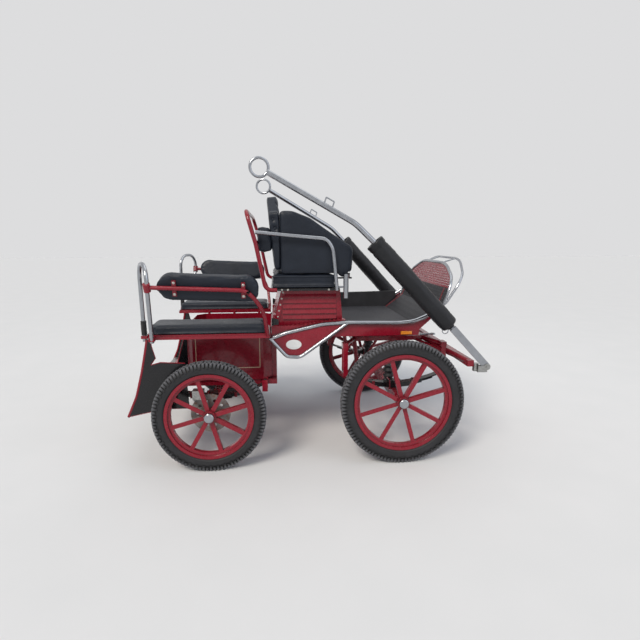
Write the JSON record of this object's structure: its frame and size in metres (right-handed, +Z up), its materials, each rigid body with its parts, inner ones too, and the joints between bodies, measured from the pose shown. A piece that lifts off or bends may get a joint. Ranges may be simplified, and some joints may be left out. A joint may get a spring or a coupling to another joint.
{
  "type": "four-wheeled horse-drawn carriage",
  "caption": "Red four-wheeled horse-drawn carriage with a driver's bench, two facing side benches, spoked wheels and folded-up shafts.",
  "frame": {"origin": "centre of the carriage's footprint, on the ground", "axes": "+X forward, towards the dash; +Y to the carriage's left; +Z up"},
  "size_m": [2.0484, 1.5276, 1.7098],
  "materials": {
    "red_paint": "gloss",
    "black_paint": "satin",
    "stainless": "polished",
    "steel": "satin",
    "tyre": "matt",
    "black_vinyl": "satin",
    "black_mat": "matt",
    "amber": "gloss"
  },
  "bodies": {
    "carriage": {"chassis_frame": "red_paint", "rear_axle": "red_paint", "rear_springs": "black_paint", "brake_calipers": "steel", "foot_well": "red_paint", "rear_step": "steel", "rear_side_plates": "black_paint", "bench_frames": "red_paint", "bench_cushion_left": "black_vinyl", "bench_cushion_right": "black_vinyl", "bench_back_left": "black_vinyl", "bench_back_right": "black_vinyl", "grab_hoops": "stainless", "front_tray": "red_paint", "floor_lining": "black_mat", "left_side_board": "black_vinyl", "dash_sheet": "red_paint", "dash_rails": "stainless", "side_tubes": "stainless", "side_panels": "red_paint", "step_treads": "red_paint", "side_reflectors": "amber", "seat_box": "red_paint", "seat_board": "black_paint", "driver_cushion": "black_vinyl", "driver_backrest": "black_vinyl", "driver_wing": "black_vinyl", "seat_back_frame": "red_paint", "lumbar_pad": "black_vinyl", "armrests": "stainless", "turntable_ring": "steel"},
    "fore_carriage": {"fore_frame": "red_paint", "front_springs": "black_paint", "front_axle": "red_paint", "trace_hooks": "stainless", "shaft_brackets": "steel"},
    "front_wheel_right": {"front_wheel_right": "red_paint", "front_tyre_right": "tyre", "front_hub_cap_right": "stainless"},
    "rear_wheel_right": {"rear_wheel_right": "red_paint", "rear_tyre_right": "tyre", "rear_hub_cap_right": "stainless", "brake_disc_right": "steel"},
    "shaft_right": {"shaft_right": "stainless", "shaft_sleeve_right": "black_vinyl"},
    "front_wheel_left": {"front_wheel_left": "red_paint", "front_tyre_left": "tyre", "front_hub_cap_left": "stainless"},
    "rear_wheel_left": {"rear_wheel_left": "red_paint", "rear_tyre_left": "tyre", "rear_hub_cap_left": "stainless", "brake_disc_left": "steel"},
    "shaft_left": {"shaft_left": "stainless", "shaft_sleeve_left": "black_vinyl"}
  },
  "joints": [
    {"name": "steering", "type": "hinge", "parent": "carriage", "child": "fore_carriage", "pos_m": [0.5182, 0, 0.68], "axis": [0, 0, 1], "range_deg": [-15, 15]},
    {"name": "front_wheel_right_spin", "type": "hinge", "parent": "fore_carriage", "child": "front_wheel_right", "pos_m": [0.5182, -0.64, 0.355], "axis": [0, 1, 0], "continuous": true},
    {"name": "rear_wheel_right_spin", "type": "hinge", "parent": "carriage", "child": "rear_wheel_right", "pos_m": [-0.5618, -0.64, 0.31], "axis": [0, 1, 0], "continuous": true},
    {"name": "front_wheel_left_spin", "type": "hinge", "parent": "fore_carriage", "child": "front_wheel_left", "pos_m": [0.5182, 0.64, 0.355], "axis": [0, 1, 0], "continuous": true},
    {"name": "rear_wheel_left_spin", "type": "hinge", "parent": "carriage", "child": "rear_wheel_left", "pos_m": [-0.5618, 0.64, 0.31], "axis": [0, 1, 0], "continuous": true},
    {"name": "shaft_left_fold", "type": "hinge", "parent": "fore_carriage", "child": "shaft_left", "pos_m": [1.0042, 0.64, 0.55], "axis": [0, 1, 0], "range_deg": [0, 150]},
    {"name": "shaft_right_fold", "type": "hinge", "parent": "fore_carriage", "child": "shaft_right", "pos_m": [1.0042, -0.64, 0.55], "axis": [0, -1, 0], "range_deg": [-150, 0]}
  ]
}
